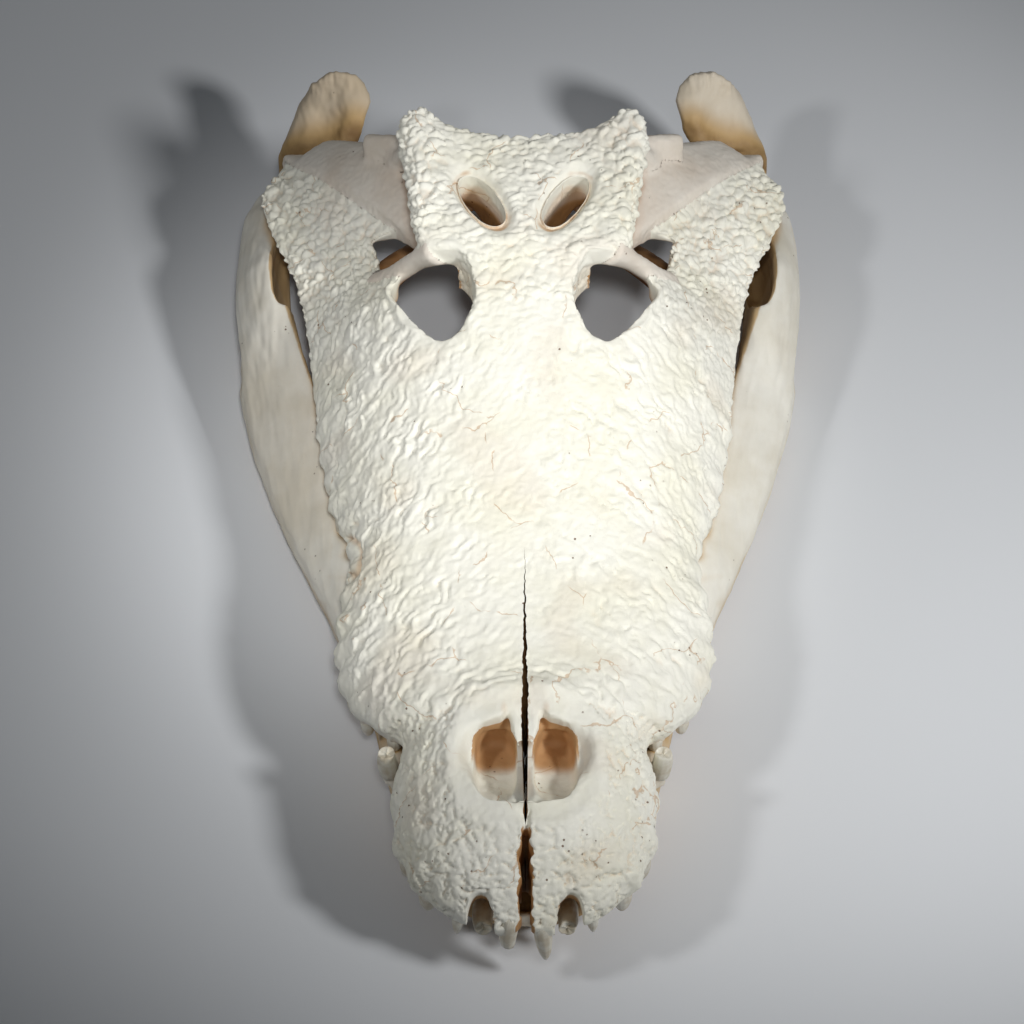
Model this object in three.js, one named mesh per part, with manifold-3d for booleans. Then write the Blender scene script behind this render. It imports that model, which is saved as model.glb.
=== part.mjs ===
// Crocodile skull, adult, cleaned bone with the jaws closed.
// Millimetres, +Z up. The snout points along -Y and +X is the animal's left side.
// Y is counted from the tip of the snout, and the last group centres the skull on the origin.

import * as THREE from 'three';
import { mergeVertices } from 'three/addons/utils/BufferGeometryUtils.js';
import Module from 'manifold-3d';

const wasm = await Module();
wasm.setup();

// Driving dimensions: where one bone ends and the next begins along Y, and the main heights.
const overallMiddle = 269.05;
const seam = 0.3;
const maxillaStart = 103;
const maxillaEnd = 286;
const browEnd = 350;
const cheekLine = 66;
const symphysisEnd = 76;
const tableTop = 143;
const tableThickness = 15;
const palateJoint = 56;
const shellThickness = 15;
const condyleRadius = 10;
const upperToothPitch = 15.4;
// The right half of the lower jaw bows out a little more than the left one.
const bow = 3;

const boneColor = 0xefeadf;
const toothColor = 0xf6f2e6;

// A smooth value along a list of [place, value] stations, with no overshoot between them.
function profile(stations) {
  const steps = stations.slice(1).map(([y, v], i) => (v - stations[i][1]) / (y - stations[i][0]));
  const slopes = stations.map((_, i) => {
    const before = steps[Math.max(i - 1, 0)];
    const after = steps[Math.min(i, steps.length - 1)];
    return before * after <= 0 ? 0 : (2 * before * after) / (before + after);
  });
  return (at) => {
    const y = THREE.MathUtils.clamp(at, stations[0][0], stations.at(-1)[0]);
    const i = Math.max(stations.findIndex(([end]) => end >= y), 1) - 1;
    const [y0, v0] = stations[i];
    const [y1, v1] = stations[i + 1];
    const h = y1 - y0;
    const t = (y - y0) / h;
    const rise = t * t * (3 - 2 * t);
    const left = t * (1 - t) * (1 - t) * h * slopes[i];
    const right = t * t * (t - 1) * h * slopes[i + 1];
    return v0 + (v1 - v0) * rise + left + right;
  };
}

// The upper jaw and cheeks seen from above and from the side.
const jawHalfWidth = profile([
  [0, 15], [5, 28], [12, 39], [31, 55], [60, 63], [76, 63], [93, 58], [113, 77], [135, 90],
  [160, 92.5], [206, 87], [245, 99], [307, 111], [356, 118], [396, 127], [438, 145], [455, 149],
  [486, 134],
]);
const jawEdge = profile([
  [0, 45], [56, 37], [92, 53], [133, 39], [198, 49], [258, 43], [301, 51], [365, 60], [486, 64],
]);
const roofHeight = profile([
  [0, 56], [10, 66], [25, 78], [43, 86], [95, 90], [129, 88], [172, 90], [215, 97], [258, 108],
  [301, 123], [345, 136], [375, 120], [400, 112], [440, 108], [486, 103],
]);
const roofRound = profile([[0, 2.2], [200, 2.5], [330, 2]]);
const sideRound = profile([[0, 2.2], [200, 2.1], [260, 1.7], [340, 1.15], [380, 0.85]]);
const rim = profile([[0, 5], [60, 8], [260, 8], [350, 6]]);
const opened = profile([[288, 0], [301, 1]]);

// The lower jaw, with its outer face, tooth row and edges.
const lowerOuter = profile([
  [19, 12], [25, 24], [38, 40], [62, 53], [80, 58], [96, 66], [112, 70], [150, 79], [174, 91], [199, 100],
  [237, 117], [298, 140], [333, 150], [369, 156], [437, 159], [464, 157], [484, 150], [502, 137],
]);
const lowerRidge = profile([
  [19, 5], [38, 33], [62, 47], [80, 57], [90, 65], [112, 61], [150, 70], [199, 81], [264, 95], [298, 103],
  [333, 114], [369, 128], [400, 137], [437, 142], [502, 122],
]);
const lowerTop = profile([
  [19, 33], [56, 33], [90, 49], [133, 34], [198, 43], [258, 38], [301, 44], [338, 52], [369, 61],
  [408, 66], [440, 57], [475, 54], [502, 42],
]);
const lowerBase = profile([
  [19, 20], [40, 6], [70, -1.4], [104, -1.4], [172, 5], [258, 3], [312, -1.2], [348, -1.2], [387, 3],
  [430, 13], [473, 30], [502, 36],
]);
const lowerThick = profile([
  [19, 9], [30, 12], [100, 11], [150, 13], [250, 16], [300, 17], [400, 16], [440, 15], [480, 16],
  [502, 14],
]);

const left = 1;
const right = -1;

// The rim of the eye socket seen from above, on the left side.
const socketRim = [
  [44, 353], [31, 347], [25.5, 330], [30, 313], [41, 305], [53, 315], [64, 333], [70, 347], [60, 357],
];

function point(x, y, z) {
  return new THREE.Vector3(x, y, z);
}

// A closed solid from any indexed or plain geometry.
function solid(geometry) {
  geometry.deleteAttribute('normal');
  geometry.deleteAttribute('uv');
  const merged = mergeVertices(geometry, 1e-4);
  const corners = [];
  for (let i = 0; i < merged.index.count; i += 3) {
    const [a, b, c] = [0, 1, 2].map((k) => merged.index.getX(i + k));
    if (a !== b && b !== c && c !== a) {
      corners.push(a, b, c);
    }
  }
  return new wasm.Manifold(new wasm.Mesh({
    numProp: 3,
    vertProperties: new Float32Array(merged.attributes.position.array),
    triVerts: new Uint32Array(corners),
  }));
}

function join(pieces) {
  return pieces.reduce((whole, piece) => whole.add(piece));
}

function cut(whole, tools) {
  return tools.reduce((rest, tool) => rest.subtract(tool), whole);
}

// A solid skinned over outlines of equal length, each placed in space by its own function.
function loft(outlines, places) {
  const size = outlines[0].length;
  const positions = outlines.flatMap((outline, i) => outline.flatMap((p) => places[i](p).toArray()));
  const faces = [];
  for (let i = 0; i + 1 < outlines.length; i++) {
    for (let j = 0; j < size; j++) {
      const k = (j + 1) % size;
      const a = i * size + j;
      const b = i * size + k;
      faces.push(a, b, b + size, a, b + size, a + size);
    }
  }
  const turned = (outline) => (THREE.ShapeUtils.isClockWise(outline) ? 1 : 0);
  for (const end of [0, outlines.length - 1]) {
    const flip = turned(outlines[end]) === (end === 0 ? 1 : 0);
    for (const [a, b, c] of THREE.ShapeUtils.triangulateShape(outlines[end], [])) {
      faces.push(...(flip ? [a, b, c] : [a, c, b]).map((corner) => end * size + corner));
    }
  }
  const geometry = new THREE.BufferGeometry();
  geometry.setAttribute('position', new THREE.Float32BufferAttribute(positions, 3));
  geometry.setIndex(faces);
  const whole = solid(geometry);
  if (whole.volume() > 0) {
    return whole;
  }
  geometry.setIndex(faces.toReversed());
  return solid(geometry);
}

function ellipse(halfWidth, halfHeight, sides, power = 2) {
  return Array.from({ length: sides }, (_, i) => {
    const angle = (2 * Math.PI * (i + 0.5)) / sides;
    const [c, s] = [Math.cos(angle), Math.sin(angle)];
    const reach = (Math.abs(c) ** power + Math.abs(s) ** power) ** (-1 / power);
    return new THREE.Vector2(halfWidth * c * reach, halfHeight * s * reach);
  });
}

// A bar along a smooth path, whose half width and half height change from end to end.
function bar(stops, sizes, options = {}) {
  const { steps = 6, sides = 8, power = 2.4, up = point(0, 0, 1), lastUp = up, grow = 0 } = options;
  const path = new THREE.CatmullRomCurve3(stops.map((stop) => point(...stop)));
  const halfWidth = profile(sizes.map(([w], i) => [i / (sizes.length - 1), w]));
  const halfHeight = profile(sizes.map(([, h], i) => [i / (sizes.length - 1), h]));
  const outlines = [];
  const places = [];
  for (let i = 0; i <= steps; i++) {
    const t = i / steps;
    const centre = path.getPoint(t);
    const along = path.getTangent(t);
    const across = along.clone().cross(up.clone().lerp(lastUp, t)).normalize();
    const normal = across.clone().cross(along).normalize();
    outlines.push(ellipse(halfWidth(t) + grow, halfHeight(t) + grow, sides, power));
    places.push((p) => centre.clone().addScaledVector(across, p.x).addScaledVector(normal, p.y));
  }
  return loft(outlines, places);
}

function ball(centre, radii, across = 12, down = 7) {
  const geometry = new THREE.SphereGeometry(1, across, down);
  geometry.scale(...radii);
  geometry.translate(...centre);
  return solid(geometry);
}

// A prism that stands on an outline in the X, Y plane, shaped afterwards by an optional function.
function prism(outline, low, high, bevel = 0, shape = null) {
  const geometry = new THREE.ExtrudeGeometry(new THREE.Shape(outline), {
    depth: high - low - 2 * bevel,
    bevelEnabled: bevel > 0,
    bevelThickness: bevel,
    bevelSize: bevel,
    bevelOffset: -bevel,
    bevelSegments: 2,
    curveSegments: 6,
  });
  geometry.translate(0, 0, low + bevel);
  if (shape) {
    const places = geometry.attributes.position;
    for (let i = 0; i < places.count; i++) {
      places.setXYZ(i, ...shape(places.getX(i), places.getY(i), places.getZ(i)));
    }
  }
  return solid(geometry);
}

function spots(pairs) {
  return pairs.map(([x, y]) => new THREE.Vector2(x, y));
}

// A smooth closed outline through a few places of the left side, or of their mirror image.
function ring(pairs, side, count) {
  const curve = new THREE.CatmullRomCurve3(pairs.map(([x, y]) => point(side * x, y, 0)), true);
  const outline = curve.getPoints(count).slice(0, -1).map(({ x, y }) => new THREE.Vector2(x, y));
  return THREE.ShapeUtils.isClockWise(outline) ? outline.reverse() : outline;
}

// Everything past a plane, and half the seam before it, to cut one bone from the next.
function beyond(at, direction) {
  const reach = 900;
  const geometry = new THREE.BoxGeometry(2 * reach, 2 * reach, reach);
  geometry.translate(0, 0, reach / 2 - seam / 2);
  const turn = new THREE.Quaternion().setFromUnitVectors(point(0, 0, 1), point(...direction).normalize());
  geometry.applyQuaternion(turn);
  geometry.translate(...at);
  return solid(geometry);
}

function block(low, high) {
  const size = high.map((value, i) => value - low[i]);
  const geometry = new THREE.BoxGeometry(...size);
  geometry.translate(...low.map((value, i) => value + size[i] / 2));
  return solid(geometry);
}

function mirrored(side, [x, y, z]) {
  return [side * x, y, z];
}

// The largest closed surface, so that a node is one body with no crumbs.
function largest(whole) {
  return whole.decompose().reduce((best, piece) => (piece.volume() > best.volume() ? piece : best));
}

// One cone of a tooth row, sunk into its jaw by the length of its root.
function tooth({ base, aim, length, radius, root = 7, blunt = 0 }, grow = 0) {
  const end = length * (1 - blunt) + grow;
  const waist = [radius * 0.78 + grow, end * 0.55];
  const rise = [[0, -root], [radius + grow, -root], waist, [0, end]];
  if (blunt > 0) {
    rise.splice(3, 0, [radius * 0.7 + grow, end]);
  }
  const geometry = new THREE.LatheGeometry(rise.map(([r, h]) => new THREE.Vector2(r, h)), 6);
  const turn = new THREE.Quaternion().setFromUnitVectors(point(0, 1, 0), aim.clone().normalize());
  geometry.applyQuaternion(turn);
  geometry.translate(...base);
  return solid(geometry);
}

// Small unevenness from tooth to tooth, the same each time.
function vary(index, side, span) {
  return span * Math.sin(index * 2.39 + side * 1.3);
}

// The upper teeth: five in the premaxilla and thirteen in the maxilla, largest at the fifth. The
// first one on the right has broken off short.
const upperTeeth = [left, right].flatMap((side) => {
  const front = [
    [3, 8, 19, 4.4], [13, 31, 12, 3.2], [27, 45, 17, 5], [46, 55, 17, 4.6], [68, 57.5, 11, 3.4],
  ].map(([y, x, length, radius], i) => ({ y, x, length: length + vary(i, side, 1), radius }));
  const back = Array.from({ length: 13 }, (_, i) => {
    const y = 106 + upperToothPitch * i;
    const size = 10 + 10 * Math.exp(-(((i - 3.6) / 1.5) ** 2)) + 4 * Math.exp(-(((i - 9) / 1.8) ** 2));
    return { y, x: jawHalfWidth(y) - 6.5, length: size + vary(i, side, 1.2), radius: 2.4 + size * 0.14 };
  });
  return [...front, ...back].map(({ y, x, length, radius }, i) => ({
    side,
    y,
    blunt: i === 0 && side === right ? 0.6 : 0,
    base: [side * x, y, jawEdge(y) + 1],
    aim: point(side * 0.1, y < 20 ? -0.12 : 0.04, -1),
    length: length + 1,
    radius,
  }));
});

// The lower teeth: three behind the front edge, the great fourth one in the notch, then eleven
// that stand between the upper ones. The fourth has lost its tip.
const lowerTeeth = [left, right].flatMap((side) => {
  const front = [
    [32, 20, 36, 4.6, 0.3], [38, 33, 12, 3.4, 0], [56, 44, 11, 3.4, 0], [88, 65, 26, 4.6, 0.3],
  ].map(([y, x, length, radius, blunt]) => ({ y, x, length, radius, blunt }));
  const back = Array.from({ length: 11 }, (_, i) => {
    const y = 106 + upperToothPitch * (i + 0.5);
    const size = 9 + 4 * Math.exp(-(((i - 6) / 2) ** 2));
    return { y, x: lowerRidge(y), length: size + vary(i, side, 1), radius: 2.3 + size * 0.12, blunt: 0 };
  });
  return [...front, ...back].map(({ y, x, length, radius, blunt }) => ({
    side,
    y,
    base: [side * x, y, lowerTop(y) - 2],
    aim: y < 35 ? point(0, -1, 0.42) : point(side * 0.08, 0, 1),
    length: length + 2,
    radius,
    blunt,
  }));
});

// The roof of the skull from the snout to the cheeks. It is solid in the snout and a shell
// behind it. A grown copy clears the lower jaw.
function roofOutline(y, grow) {
  const width = jawHalfWidth(y) + grow;
  const base = jawEdge(y) - grow;
  const lift = base + rim(y);
  const rise = roofHeight(y) - lift;
  const top = (u) => lift + rise * Math.max(1 - Math.abs(u) ** roofRound(y), 0) ** (1 / sideRound(y));
  const palate = (u) => base + 5 * (1 - u ** 4);
  const open = opened(y);
  const outline = [];
  const topSteps = 18;
  for (let i = 0; i <= topSteps; i++) {
    const u = Math.cos((Math.PI * i) / topSteps);
    outline.push(new THREE.Vector2(width * u, top(u)));
  }
  const underSteps = 7;
  for (let i = 0; i <= underSteps; i++) {
    const u = -0.93 + (1.86 * i) / underSteps;
    const under = (1 - open) * palate(u) + open * (top(u) - shellThickness);
    outline.push(new THREE.Vector2(width * u, under));
  }
  return outline;
}

function roof(grow = 0) {
  const places = [
    0, 3, 8, 16, 26, 38, 52, 66, 78, 87, 94, 101, 108, 116, 126, 138, 154, 170, 188, 206, 224, 244,
    264, 284, 288, 301, 316, 331, 346, 361, 376, 392, 408, 424, 438, 449, 460, 473, 486,
  ];
  return loft(
    places.map((y) => roofOutline(y, grow)),
    places.map((y) => (p) => point(p.x, y, p.y)),
  );
}

// Openings of the roof.
function openings() {
  const pieces = [];
  // The opening of the nose, a shallow bowl with two deep hollows in it.
  const bowl = ellipse(26, 26, 16, 2.6).map((p) => p.add(new THREE.Vector2(0, 73)));
  pieces.push(prism(bowl, 79, 120));
  for (const side of [left, right]) {
    const hollow = ellipse(9.8, 23, 16, 3.2).map((p) => p.add(new THREE.Vector2(side * 13.9, 73)));
    const sloped = (x, y, z) => [x, y, z > 100 ? z : z + 5 - 0.27 * (y - 50)];
    pieces.push(prism(hollow, 70, 120, 0, sloped));
    // The eye socket, open below.
    pieces.push(prism(ring(socketRim, side, 20), 40, 180));
    // The window in the palate that runs forward under the socket.
    const window = ellipse(18, 34, 14, 2.2).map((p) => p.add(new THREE.Vector2(side * 44, 284)));
    pieces.push(prism(window, 30, 78));
  }
  // The open space between the cheeks and under the skull table.
  const temple = [
    [66, 355], [71, 362], [76.5, 377], [79, 392], [82.5, 401], [69, 404], [58, 412], [58, 520],
  ];
  const outline = [...temple, ...temple.map(([x, y]) => [-x, y]).reverse()];
  pieces.push(prism(spots(outline), 20, 180));
  // The gaping seam between the premaxillae.
  const slit = [[-2.9, -5], [2.9, -5], [2.5, 28], [1.6, 46], [-1.6, 46], [-2.5, 28]];
  pieces.push(prism(spots(slit), 46, 120));
  // Notches in the front edge of the upper jaw for the first lower teeth.
  for (const side of [left, right]) {
    pieces.push(bar(
      [[side * 20, 14, 30], [side * 20.5, 3, 58], [side * 21.5, -7, 86]],
      [[6.4, 13.5], [6.4, 12]],
      { up: point(0, 1, 0), sides: 10, steps: 2 },
    ));
  }
  return pieces;
}

// The raised brow between the eyes, which climbs to the level of the skull table.
function browRise() {
  const half = [[0, 288], [14, 292], [26, 306], [34, 318], [50, 344], [52, 354], [0, 354]];
  const outline = [...half, ...half.slice(1, -1).map(([x, y]) => [-x, y]).reverse()];
  return prism(spots(outline), 108, 139.5, 2, (x, y, z) => {
    const drop = z > 120 ? 0.33 * (browEnd - y) + 1.5 * (1 - Math.abs(x) / 50) : 0;
    return [x, y, z - drop];
  });
}

// The crack that runs back from the nose.
function crack() {
  const outline = [[-1.7, 81], [1.7, 81], [1.8, 100], [0.2, 178], [-0.2, 178], [-1.8, 100]];
  return prism(spots(outline), 70, 130);
}

// The points of the nasal bones, side by side over the opening of the nose.
function nasalPoint(side) {
  return tooth({
    base: [side * 5, 101, 85.5],
    aim: point(side * -0.1, -1, -0.02),
    length: 22,
    radius: 3.8,
    root: 3,
  });
}

const openedRoof = cut(join([roof(), browRise()]), openings());
const roofRaw = cut(join([
  openedRoof,
  nasalPoint(left),
  nasalPoint(right),
  ...upperTeeth.map((one) => tooth(one)),
]), [crack(), ...lowerTeeth.map((one) => tooth(one, 0.9))]);

// The plane between the cheek and the quadrate, which meet on a slant.
const quadrateJoint = [101, 443, 80];
const quadrateAim = [0.77, -0.63, 0];

// The rod of the palate, which runs back from the snout.
function palateRod(grow = 0) {
  return bar(
    [[0, 282, 56], [0, 340, 54], [0, 410, 52]],
    [[21, 8], [15, 7], [19, 7]],
    { grow },
  );
}

// The wing of the palate, a strut from the cheek that bends in below the braincase.
function wing(side, grow = 0) {
  return bar(
    [
      [side * 97, 340, 72], [side * 94, 380, 56], [side * 84, 418, 36], [side * 64, 438, 38],
      [side * 36, 448, 45],
    ],
    [[9, 6], [8, 6], [9, 9], [10, 5], [10, 4]],
    { grow, steps: 9 },
  );
}

function premaxilla(side) {
  return cut(roofRaw, [
    beyond([0, 0, 0], [-side, 0, 0]),
    beyond([0, maxillaStart, 0], [0, 1, 0]),
  ]);
}

function maxilla(side) {
  return cut(roofRaw, [
    beyond([0, 0, 0], [-side, 0, 0]),
    beyond([0, maxillaStart, 0], [0, -1, 0]),
    beyond([0, maxillaEnd, 0], [0, 1, 0]),
  ]);
}

// The brow between and before the eyes.
function brow() {
  return cut(roofRaw, [
    beyond([0, maxillaEnd, 0], [0, -1, 0]),
    beyond([0, browEnd, 0], [0, 1, 0]),
    beyond([cheekLine, 0, 0], [1, 0, 0]),
    beyond([-cheekLine, 0, 0], [-1, 0, 0]),
    palateRod(seam),
    postorbitalBar(left, seam),
    postorbitalBar(right, seam),
  ]);
}

// The rough bar of the cheek, from before the eye to the jaw joint.
function cheek(side) {
  return cut(roofRaw, [
    beyond([0, maxillaEnd, 0], [0, -1, 0]),
    beyond([side * cheekLine, 0, 0], [-side, 0, 0]),
    beyond(mirrored(side, quadrateJoint), mirrored(side, quadrateAim.map((value) => -value)))
      .intersect(block([-200, 396, 0], [200, 560, 200])),
    wing(side, seam),
    postorbitalBar(side, seam),
    // The cheek thins to a spur where it points into the window behind the eye.
    block([side === left ? 60 : -88, 395, 0], [side === left ? 88 : -60, 430, 89]),
  ]);
}

// The smooth round bar behind the eye.
function postorbitalBar(side, grow = 0) {
  return bar(
    [[side * 45, 353, 133], [side * 56, 358, 121], [side * 66, 363, 107], [side * 76, 367, 93]],
    [[9, 7], [5.6, 5.2], [5.6, 5.4], [8, 7]],
    { grow, up: point(0, 1, 0), power: 2, steps: 6 },
  );
}

// The flat skull table with its raised rear corners. A lowered copy clears what stands below it.
function tablePlate(lower = 0) {
  const half = [
    [0, 344], [24, 344], [46, 350], [55, 357], [59, 378], [63, 405], [67, 425], [64, 440], [54, 445],
    [44, 437], [27, 433], [0, 430],
  ];
  const outline = [...half, ...half.slice(1, -1).map(([x, y]) => [-x, y]).reverse()];
  return prism(spots(outline), tableTop - tableThickness - lower, tableTop, 3, (x, y, z) => {
    const corner = THREE.MathUtils.smoothstep(y, 415, 442) * THREE.MathUtils.smoothstep(Math.abs(x), 25, 60);
    return [x, y, z + 0.05 * (y - 395) + 7 * corner - 2 * (1 - Math.abs(x) / 60)];
  });
}

function skullTable() {
  return cut(tablePlate(), [
    templeOpening(left),
    templeOpening(right),
    postorbitalBar(left, seam),
    postorbitalBar(right, seam),
    beyond([0, browEnd, 0], [0, -1, 0]),
  ]);
}

function templeOpening(side) {
  const turned = ellipse(9, 20.5, 14, 2.2).map((p) => {
    p.rotateAround(new THREE.Vector2(), -0.5);
    return new THREE.Vector2(side * (p.x + 22), p.y + 384);
  });
  return prism(side === left ? turned : turned.reverse(), 106, 180);
}

// The braincase and back of the head: the walls under the table, the hole for the spinal cord,
// the ball of the neck joint and the wings that reach out to the quadrates.
function braincase() {
  const floor = 52;
  const ceiling = 133;
  const half = [[42, ceiling], [31, 120], [19, 102], [16, 78], [19, floor]];
  const outline = spots([...half, ...half.map(([x, z]) => [-x, z]).reverse()]);
  const stations = [[360, 0.55], [376, 0.8], [400, 1], [436, 1.05]];
  const walls = loft(
    stations.map(() => outline),
    stations.map(([y, size]) => (p) => point(p.x * size, y, ceiling - (ceiling - p.y) * Math.min(size, 1))),
  );
  const pieces = [walls, ball([0, 447, 82], [11, 11, 9])];
  for (const side of [left, right]) {
    pieces.push(bar(
      [[side * 4, 432, 112], [side * 48, 442, 112], [side * 86, 460, 102]],
      [[6, 15], [6, 15], [6, 12]],
      { steps: 4 },
    ));
    pieces.push(bar(
      [[side * 57, 432, 140], [side * 61, 436, 122], [side * 68, 446, 106]],
      [[9, 6], [8, 6], [8, 6]],
      { up: point(0, 1, 0), steps: 4 },
    ));
    pieces.push(bar(
      [[side * 10, 438, 78], [side * 14, 434, 62], [side * 14, 426, 50]],
      [[8, 8], [9, 8], [9, 9]],
      { up: point(0, 1, 0), steps: 4 },
    ));
  }
  const canal = bar([[0, 400, 98], [0, 470, 98]], [[8, 7], [8.5, 7.5]], { steps: 1, sides: 8 });
  return join(pieces).subtract(canal);
}

// The quadrate, from under the table out to the jaw joint, which ends in a wide rounded condyle.
function quadrate(side, grow = 0) {
  const shaft = bar(
    [
      [side * 35, 399, 109], [side * 61, 422, 103], [side * 90, 451, 90], [side * 112, 477, 74],
      [side * 119, 484, 68],
    ],
    [[21, 8], [29, 7], [24, 8], [19, 9], [18, 9]],
    {
      grow,
      steps: 7,
      sides: 10,
      power: 3,
      up: point(side * 0.38, -0.42, 0.85),
      lastUp: point(0, 0, 1),
    },
  );
  return cut(join([shaft, condyle(side, grow)]), [
    tablePlate(seam),
    beyond(mirrored(side, quadrateJoint), mirrored(side, quadrateAim)),
  ]);
}

function condyle(side, grow = 0) {
  const sizes = [condyleRadius - 1, condyleRadius - 2, condyleRadius].map((radius) => [radius, radius]);
  return bar(
    [[side * 101, 481, 63], [side * 118, 486, 62], [side * 136, 482, 64]],
    sizes,
    { grow, steps: 6, sides: 10, power: 2 },
  );
}

// The palate behind the snout: the rod and the plate below the braincase.
function palate() {
  const half = [
    [0, 402], [16, 404], [26, 428], [50, 434], [54, 450], [22, 464], [8, 455], [0, 453],
  ];
  const outline = [...half, ...half.slice(1, -1).map(([x, y]) => [-x, y]).reverse()];
  const plate = prism(spots(outline), 46, 56, 2, (x, y, z) => [x, y, z - 0.004 * x * x]);
  return cut(palateRod().add(plate), [
    beyond([0, maxillaEnd, 0], [0, -1, 0]),
    beyond([0, 0, palateJoint], [0, 0, 1]).intersect(block([-45, 355, 0], [45, 470, 200])),
    wing(left, seam),
    wing(right, seam),
  ]);
}

// One half of the lower jaw as a leaning bar, with the outer face swelling below the teeth.
function lowerBar(side) {
  const places = [
    19, 22, 28, 36, 47, 60, 76, 90, 102, 114, 130, 148, 166, 184, 202, 222, 244, 266, 288, 310, 332,
    354, 374, 392, 410, 428, 446, 464, 484, 502,
  ];
  const outlines = places.map((y) => {
    const thick = lowerThick(y);
    const middle = lowerOuter(y) - thick - side * bow * THREE.MathUtils.smoothstep(y, 150, 320);
    const centre = (lowerTop(y) + lowerBase(y)) / 2;
    const half = (lowerTop(y) - lowerBase(y)) / 2;
    return ellipse(1, 1, 12, 2.5).map((p) => {
      const lean = p.y > 0 ? lowerRidge(y) - middle : 2;
      const narrow = p.y > 0 ? 1 - 0.3 * p.y * p.y : 1;
      const across = middle + lean * p.y * p.y + thick * narrow * p.x;
      return new THREE.Vector2(side * across, centre + half * p.y);
    });
  });
  return loft(outlines, places.map((y) => (p) => point(p.x, y, p.y)));
}

// The shelf that joins the two halves behind the front teeth.
function symphysis() {
  return ball([0, 50, 18], [40, symphysisEnd - 50, 14], 16, 6);
}

// The rear end of the lower jaw, with the joint and the long process that curves up behind it.
function jawEnd(side) {
  const path = [
    [side * 122, 484, 42], [side * 122, 504, 50], [side * 111, 521, 69], [side * 105, 529, 81],
    [side * 104, 536, 90],
  ];
  const process = bar(
    path,
    [[18, 12], [20, 9], [22, 7.5], [19, 6], [8, 4.5]],
    { steps: 8, sides: 12, power: 2.6 },
  );
  const trough = bar(
    [[side * 122, 499, 62], [side * 115, 515, 78], [side * 108, 524, 92], [side * 105, 533, 102]],
    [[15, 7], [17, 7.5], [15, 7], [10, 7]],
    { steps: 6, sides: 10, power: 2 },
  );
  const seat = ball([side * 120, 484, 42], [24, 19, 19]);
  return join([process.subtract(trough), seat]);
}

const roofClearance = roof(1.2);
const lowerSplit = [0, 338, 40];
const lowerAim = [0, 1, 0.35];

// Both halves whole, before they are cut into a tooth-bearing front and a rear.
function lowerHalf(side) {
  const whole = join([
    lowerBar(side),
    symphysis(),
    jawEnd(side),
    ...lowerTeeth.filter((one) => one.side === side).map((one) => tooth(one)),
  ]);
  return cut(whole, [
    beyond([0, 0, 0], [-side, 0, 0]),
    block([-300, -50, -50], [300, 600, 0]),
    // The window through the side of the jaw.
    ball([side * 145, 374, 28], [60, 25, 10]),
    // The hollow for the jaw muscles, on the inner side of the upper edge.
    ball([side * 131, 412, 56], [9, 32, 24]),
    // The cheek passes inside the upper edge.
    roofClearance.subtract(block([-70, -50, 0], [70, 100, 200])),
    condyle(side, seam),
    ...upperTeeth.filter((one) => one.side === side).map((one) => tooth(one, 0.9)),
  ]);
}

const leftHalf = lowerHalf(left);
const rightHalf = lowerHalf(right);

function lowerFront(side) {
  return (side === left ? leftHalf : rightHalf).subtract(beyond(lowerSplit, lowerAim));
}

function lowerRear(side) {
  return (side === left ? leftHalf : rightHalf).subtract(beyond(lowerSplit, lowerAim.map((v) => -v)));
}

// The remaining joints of the braincase with its neighbours.
function finishedBraincase() {
  return cut(braincase(), [
    tablePlate(seam),
    beyond([0, 0, palateJoint], [0, 0, -1]),
    templeOpening(left),
    templeOpening(right),
    quadrate(left, seam),
    quadrate(right, seam),
  ]);
}

function node(name, shape, color = boneColor, roughness = 0.62) {
  const mesh = largest(shape).getMesh();
  const geometry = new THREE.BufferGeometry();
  geometry.setAttribute('position', new THREE.BufferAttribute(new Float32Array(mesh.vertProperties), 3));
  geometry.setIndex(new THREE.BufferAttribute(new Uint32Array(mesh.triVerts), 1));
  geometry.computeVertexNormals();
  const part = new THREE.Mesh(geometry, new THREE.MeshStandardMaterial({ color, roughness, metalness: 0 }));
  part.name = name;
  return part;
}

const cranium = new THREE.Group();
cranium.add(node('brow', brow()));
cranium.add(node('skull_table', skullTable()));
cranium.add(node('braincase', finishedBraincase()));
cranium.add(node('palate', palate()));
const mandible = new THREE.Group();
for (const [word, side] of [['left', left], ['right', right]]) {
  cranium.add(node(`premaxilla_${word}`, premaxilla(side)));
  cranium.add(node(`maxilla_${word}`, maxilla(side)));
  cranium.add(node(`cheek_${word}`, cheek(side)));
  cranium.add(node(`quadrate_${word}`, quadrate(side)));
  cranium.add(node(`eye_bar_${word}`, postorbitalBar(side)));
  cranium.add(node(`wing_${word}`, wing(side)));
  mandible.add(node(`dentary_${word}`, lowerFront(side), toothColor));
  mandible.add(node(`jaw_rear_${word}`, lowerRear(side)));
}

const skull = new THREE.Group();
skull.add(cranium, mandible);
skull.position.set(bow, -overallMiddle, 0);

const group = new THREE.Group();
group.add(skull);

export default group;
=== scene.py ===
"""A cleaned skull of an adult crocodile with its jaws closed, lying on a pale table.

The bones start from the fixed frame's own solids. Each group is skinned as one surface, softened,
carved and given its sculpture, and then parted again into its bones. Lengths in the carving are in
millimetres, counted from the tip of the snout, the middle line and the table.
"""

import math

import bmesh
import bpy
import numpy as np
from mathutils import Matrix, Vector, noise
from mathutils.bvhtree import BVHTree


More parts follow.
